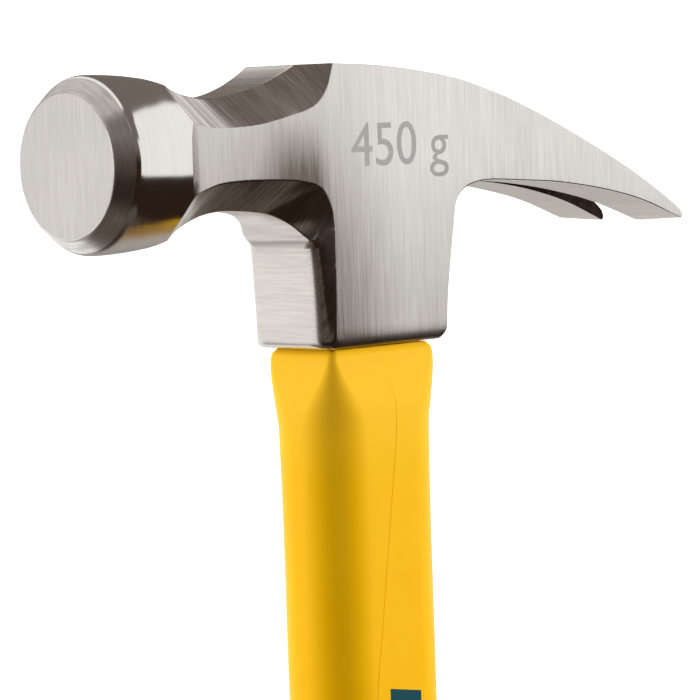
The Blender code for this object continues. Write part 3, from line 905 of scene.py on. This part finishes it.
def rounded_rectangle(half_x, half_y, radius, per_corner=15):
    points = []
    for quarter, (sx, sy) in enumerate(((1, 1), (-1, 1), (-1, -1), (1, -1))):
        for i in range(per_corner):
            angle = math.pi / 2 * (quarter + i / (per_corner - 1))
            points.append((sx * (half_x - radius) + radius * math.cos(angle),
                           sy * (half_y - radius) + radius * math.sin(angle)))
    return points


def sleeve(levels):
    """A solid through rounded rectangles: each level is height, half sizes and radius."""
    return loft([[(x, y, level[0]) for x, y in rounded_rectangle(*level[1:])] for level in levels])


JACKET_LEVELS = [(JACKET_TOP_Z - drop, *sizes) for drop, *sizes in catmull_rom(JACKET_NECK, 1.2)]


def jacket_half_width(z):
    """Y of the jacket's broad side at a height."""
    table = np.array(JACKET_LEVELS[::-1])
    return float(np.interp(z, table[:, 0], table[:, 2]))


def build_jacket():
    """The jacket with its tang and its bore for the rod, and what is on its surface."""
    plastic = jacket_plastic()
    levels = JACKET_LEVELS + [(GRIP_TOP_Z + GAP, *TANG), (TANG_BOTTOM_Z, *TANG)]
    jacket = finish_mesh("handle_jacket_fine", sleeve(levels), [plastic])
    bore = [half + GAP for half in CORE_HALF]
    rings = [[(x, y, z) for x, y in oval(*bore)] for z in (CORE_BOTTOM_Z - GAP, JACKET_TOP_Z + PAST)]
    combine(jacket, "DIFFERENCE", finish_mesh("jacket_bore", loft(rings), [plastic]))
    jacket.data.set_sharp_from_angle(angle=math.radians(40))
    even_normals(jacket)
    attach(jacket, "root")
    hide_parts("handle_jacket")
    build_parting_line(plastic)
    build_stripe()


def groove(z):
    """Depth of the grip's grooves at a height: one soft groove in each pitch."""
    low, high = GROOVE_RANGE_Z
    if not low < z < high:
        return 0.0
    phase = (z - low) % GROOVE_PITCH
    return GROOVE_DEPTH * float(ramp(phase, *GROOVE_FALL) * (1 - ramp(phase, *GROOVE_RISE)))


def build_grip():
    """The grooved grip with its socket for the jacket's tang."""
    table = catmull_rom(GRIP, 1.0)
    levels = []
    for z in np.arange(0.0, GRIP_TOP_Z + 0.01, GRIP_STEP):
        sizes = [float(np.interp(z, table[:, 0], table[:, k])) - groove(z) for k in (1, 2, 3)]
        levels.append((float(z), *sizes))
    grip = finish_mesh("rubber_grip_fine", sleeve(levels), [grip_rubber()])
    socket = [size + GAP for size in TANG]
    bore = sleeve([(z, *socket) for z in (TANG_BOTTOM_Z - GAP, GRIP_TOP_Z + PAST)])
    combine(grip, "DIFFERENCE", finish_mesh("grip_bore", bore))
    grip.data.set_sharp_from_angle(angle=math.radians(50))
    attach(grip, "root")
    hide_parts("rubber_grip")


def dress_cad_nodes():
    """Give the rod and the resin, which keep their own meshes, their materials."""
    for node, finish in (("fibreglass_core", fibre_rod()), ("eye_epoxy", epoxy_resin())):
        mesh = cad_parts[node].data
        mesh.materials.clear()
        mesh.materials.append(finish)


# ---------------------------------------------------------------- studio

WHITE = tint(1.0, 0.985, 0.965)
FLOOR_GREY = tint(0.60, 0.565, 0.535)
PALE = tint(0.40, 0.375, 0.35)
SHADE = tint(0.180, 0.153, 0.134)
DIM = tint(0.100, 0.077, 0.062)
DARK = tint(0.026, 0.014, 0.009)
DARK_END = (-0.69, -0.72, 0.0)           # the unlit end of the studio
DARK_END_REACH = (57, 49)                # angles from it, in degrees, where the dark fades out


def build_world():
    """Soft white light from all round, with an unlit end, an unlit low front and a dim ceiling.

    Each part of the studio is a mask, from 0 to 1, over the directions that look toward it."""
    world = bpy.data.worlds.new("studio")
    bpy.context.scene.world = world
    world.use_nodes = True
    s = Shader(world.node_tree)
    toward = s.node("ShaderNodeTexCoord").outputs["Generated"]
    x, y, z = s.separate(toward)
    down = s.math("MULTIPLY", z, -1.0)

    def above(value, low, high):
        return s.smooth(value, low, high)

    def below(value, low, high):
        return s.smooth(value, low, high, 1.0, 0.0)

    def all_of(first, *others):
        for other in others:
            first = s.math("MULTIPLY", first, other)
        return first

    def any_of(first, *others):
        for other in others:
            first = s.math("MAXIMUM", first, other)
        return first

    # The lit studio, with a grey floor and three dim stretches higher up
    floor = all_of(above(y, 0.50, 0.62), above(x, 0.45, 0.58), above(down, 0.02, 0.10))
    ceiling = all_of(above(s.dot(toward, (-0.7, 0.45, 1.0)), 0.13, 0.20),
                     above(s.dot(toward, (0.91, -0.41, 0.0)), 0.0, 0.08))
    near = all_of(above(z, 0.42, 0.50), below(x, 0.30, 0.45), below(y, -0.40, -0.30))
    back = all_of(above(y, 0.35, 0.45), above(z, -0.04, 0.02), above(x, 0.40, 0.52), below(x, 0.76, 0.82))
    lit = s.mix(any_of(ceiling, near, back), s.mix(floor, WHITE, FLOOR_GREY), SHADE)

    # The unlit end, which grows lighter upwards
    outer, inner = (math.cos(math.radians(a)) for a in DARK_END_REACH)
    end = above(s.dot(toward, unit(DARK_END)), outer, inner)
    end_wall = all_of(below(x, -0.54, -0.45), above(z, -0.35, -0.12))
    end_top = all_of(above(z, 0.45, 0.70), below(x, -0.45, -0.30))
    dusk = s.mix(above(z, 0.02, 0.36), s.mix(end_wall, DARK, DIM), SHADE)
    dusk = s.mix(end_top, dusk, PALE)

    # The dim ground under the hammer and to its left, and the dark low front
    under = all_of(above(down, 0.78, 0.90), below(x, 0.25, 0.40))
    left = all_of(above(down, 0.27, 0.58), below(x, -0.50, -0.25))
    front = all_of(above(down, 0.19, 0.235), below(s.dot(toward, (-0.36, 1.0, -0.7)), 0.38, 0.43))
    ground = s.mix(above(down, 0.70, 0.80), DARK, DIM)
    colour = s.mix(any_of(under, left), s.mix(end, lit, dusk), DIM)

    background = world.node_tree.nodes["Background"]
    s.feed(background.inputs["Color"], s.mix(front, colour, ground))
    background.inputs["Strength"].default_value = 1.0


# Soft lights: azimuth and elevation in degrees, and watts
LIGHTS = [("right_light", -48.0, 8.0, 14.5), ("left_light", 140.0, 10.0, 13.0),
          ("front_light", -118.0, 8.0, 2.4)]
LIGHT_DISTANCE = 1.3                   # metres, from a point at this height
LIGHT_HEIGHT = 0.22
LIGHT_SIDE = 0.8


def build_lights():
    for name, azimuth, elevation, watts in LIGHTS:
        lamp = bpy.data.lights.new(name, "AREA")
        lamp.shape = "SQUARE"
        lamp.size = LIGHT_SIDE
        lamp.energy = watts
        light = bpy.data.objects.new(name, lamp)
        bpy.context.collection.objects.link(light)
        a, e = math.radians(azimuth), math.radians(elevation)
        away = Vector((math.cos(a) * math.cos(e), math.sin(a) * math.cos(e), math.sin(e)))
        light.location = Vector((0.0, 0.0, LIGHT_HEIGHT)) + away * LIGHT_DISTANCE
        light.rotation_euler = away.to_track_quat("Z", "Y").to_euler()
        light.visible_glossy = False


# Backdrop, in metres: radius of the flat floor, radius of its curve, height of the wall, dome above
STAGE_FLAT = 1.3
STAGE_CURVE = 1.2
STAGE_TOP = 3.4
STAGE_DOME = 1.0
STAGE_HUB = 0.02
STAGE_SIDES = 96


def pale_paper():
    """White paper that glows more the farther it is from the hammer."""
    made, s, shader = new_material("pale_paper")
    shader.inputs["Roughness"].default_value = 0.9
    shader.inputs["Base Color"].default_value = tint(0.9, 0.9, 0.895)
    shader.inputs["Emission Color"].default_value = tint(1.0, 1.0, 1.0)
    away = s.node("ShaderNodeVectorMath", operation="LENGTH")
    s.feed(away.inputs[0], s.node("ShaderNodeTexCoord").outputs["Object"])
    s.feed(shader.inputs["Emission Strength"], s.smooth(away.outputs["Value"], 0.3, 1.1, 0.15, 0.8))
    return made


def build_stage():
    """A pale floor that curves up all round into a plain backdrop. It lights nothing itself."""
    profile = [(STAGE_FLAT * t, 0.0) for t in (0.02, 0.1, 0.25, 0.5, 0.75, 1.0)]
    for angle in np.radians(np.arange(10, 91, 10)):
        profile.append((STAGE_FLAT + STAGE_CURVE * math.sin(angle), STAGE_CURVE * (1 - math.cos(angle))))
    wall = STAGE_FLAT + STAGE_CURVE
    profile += [(wall, STAGE_TOP), (0.7 * wall, STAGE_TOP + 0.7 * STAGE_DOME),
                (STAGE_HUB, STAGE_TOP + STAGE_DOME)]
    bm = bmesh.new()
    rings = []
    for r, z in profile:
        rings.append([bm.verts.new((r * math.cos(a), r * math.sin(a), z)) for a in turns(STAGE_SIDES)])
    for first, second in zip(rings, rings[1:]):
        for i in range(STAGE_SIDES):
            j = (i + 1) % STAGE_SIDES
            bm.faces.new((first[i], first[j], second[j], second[i]))
    bm.faces.new(rings[0])
    bmesh.ops.recalc_face_normals(bm, faces=bm.faces)
    bmesh.ops.reverse_faces(bm, faces=bm.faces)
    mesh = bpy.data.meshes.new("studio_floor")
    bm.to_mesh(mesh)
    bm.free()
    mesh.shade_smooth()
    mesh.materials.append(pale_paper())
    stage = bpy.data.objects.new("studio_floor", mesh)
    bpy.context.collection.objects.link(stage)
    stage.visible_glossy = False
    stage.visible_diffuse = False
    stage.visible_shadow = False
    stage.visible_transmission = False


def build_camera():
    """The camera. The columns of its turn are right, up and backward."""
    yaw, pitch, roll = (math.radians(a) for a in (CAMERA_YAW, CAMERA_PITCH, CAMERA_ROLL))
    ahead = Vector((math.cos(yaw) * math.cos(pitch), math.sin(yaw) * math.cos(pitch), math.sin(pitch)))
    level = Vector((math.sin(yaw), -math.cos(yaw), 0.0))
    above = level.cross(ahead)
    right = level * math.cos(roll) - above * math.sin(roll)
    up = level * math.sin(roll) + above * math.cos(roll)
    camera = bpy.data.objects.new("camera", bpy.data.cameras.new("camera"))
    bpy.context.collection.objects.link(camera)
    x, y, z = CAMERA_PLACE
    turn = Matrix((right, up, -ahead)).transposed().to_4x4()
    camera.matrix_world = Matrix.Translation(Vector((x, y, z + AXIS_Z)) * MM) @ turn
    camera.data.lens = CAMERA_LENS
    camera.data.sensor_width = CAMERA_SENSOR
    camera.data.clip_start = 0.01
    bpy.context.scene.camera = camera


build_camera()
build_world()
build_lights()
build_stage()
build_head()
build_weight_mark()
build_jacket()
build_grip()
dress_cad_nodes()
bpy.context.scene.view_settings.view_transform = "Standard"
